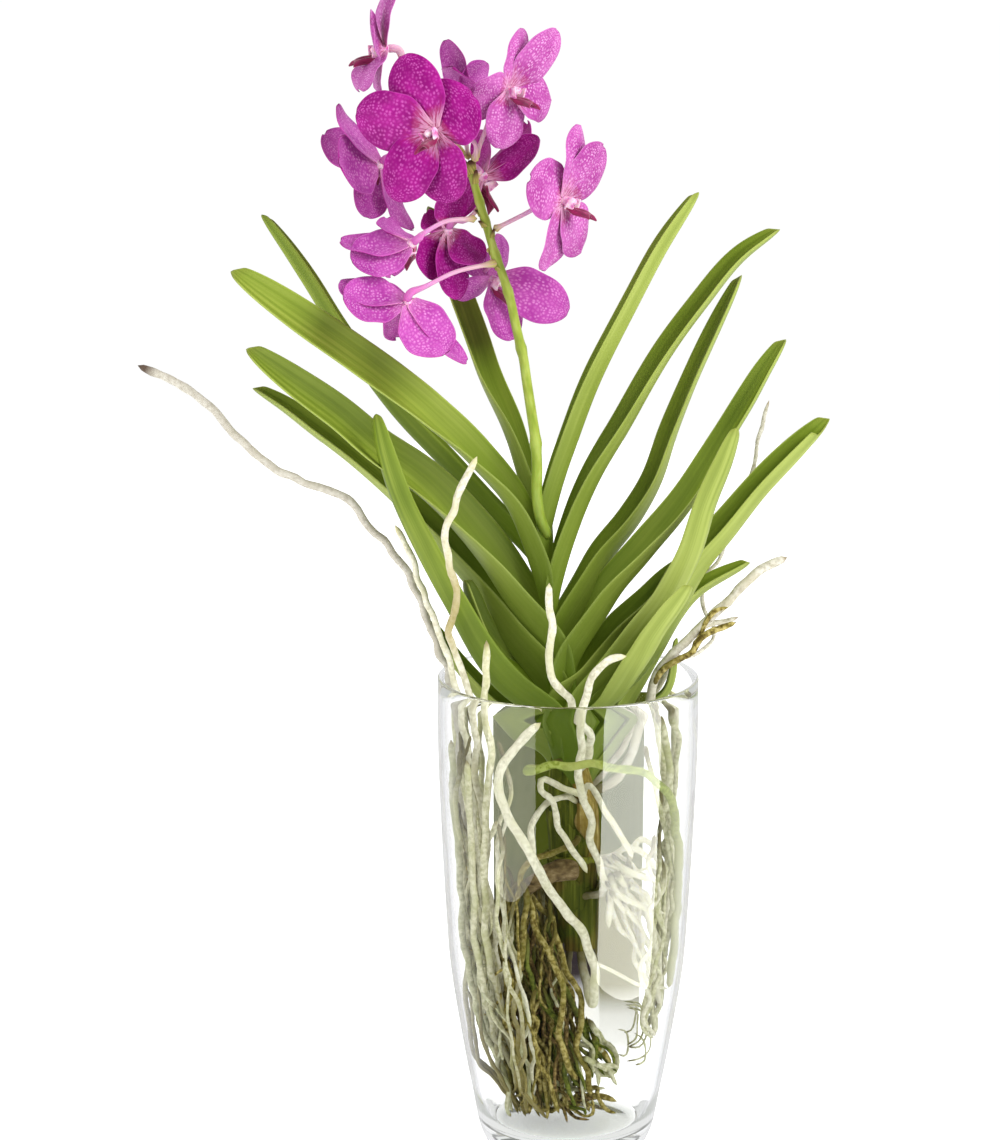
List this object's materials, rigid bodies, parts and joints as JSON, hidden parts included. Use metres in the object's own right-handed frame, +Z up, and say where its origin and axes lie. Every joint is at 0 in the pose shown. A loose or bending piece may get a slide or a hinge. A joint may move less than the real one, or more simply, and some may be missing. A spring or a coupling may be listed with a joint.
{
  "type": "vanda orchid in a glass vase",
  "caption": "Bare-rooted vanda orchid in a tall clear glass vase: fans of strap leaves, a leaning spray of spotted pink blooms, and pale air roots in the vase and over its rim.",
  "frame": {"origin": "centre of the vase's flat underside", "axes": "+Z up along the vase, -Y the front, +X to the right as seen from the front"},
  "size_m": [0.4693, 0.18, 0.8124],
  "materials": {
    "vase_glass": "clear polished",
    "stem_sheath": "dull plant tissue with dry sheath edges",
    "leaf_green": "satin waxy leaf",
    "flower_stem_green": "satin",
    "petal_pink": "soft satin petal with pale spots and darker veins",
    "lip_crimson": "satin",
    "root_silver": "matt corky",
    "root_olive": "matt corky"
  },
  "bodies": {
    "root": {"vase": "vase_glass", "stem": "stem_sheath", "flower_stem": "flower_stem_green", "leaf_left_1": "leaf_green", "leaf_left_2": "leaf_green", "leaf_left_3": "leaf_green", "leaf_left_4": "leaf_green", "leaf_left_5": "leaf_green", "leaf_left_6": "leaf_green", "leaf_left_7": "leaf_green", "leaf_left_8": "leaf_green", "leaf_right_1": "leaf_green", "leaf_right_2": "leaf_green", "leaf_right_3": "leaf_green", "leaf_right_4": "leaf_green", "leaf_right_5": "leaf_green", "leaf_right_6": "leaf_green", "leaf_right_7": "leaf_green", "leaf_right_8": "leaf_green", "leaf_right_9": "leaf_green", "leaf_right_10": "leaf_green", "bloom_01": "petal_pink", "bloom_02": "petal_pink", "bloom_03": "petal_pink", "bloom_04": "petal_pink", "bloom_05": "petal_pink", "bloom_06": "petal_pink", "bloom_07": "petal_pink", "bloom_08": "petal_pink", "bloom_09": "petal_pink", "bloom_10": "petal_pink", "bloom_11": "petal_pink", "bloom_01_lip": "lip_crimson", "bloom_02_lip": "lip_crimson", "bloom_03_lip": "lip_crimson", "bloom_04_lip": "lip_crimson", "bloom_05_lip": "lip_crimson", "bloom_06_lip": "lip_crimson", "bloom_07_lip": "lip_crimson", "bloom_08_lip": "lip_crimson", "bloom_09_lip": "lip_crimson", "bloom_10_lip": "lip_crimson", "bloom_11_lip": "lip_crimson", "root_long_left": "root_silver", "root_diagonal": "root_silver", "root_centre": "root_silver", "root_elbow": "root_silver", "roots_middle": "root_silver", "roots_right_high": "root_silver", "roots_right_wall": "root_silver", "roots_left_and_floor": "root_olive", "root_hoop": "root_olive"}
  },
  "joints": []
}
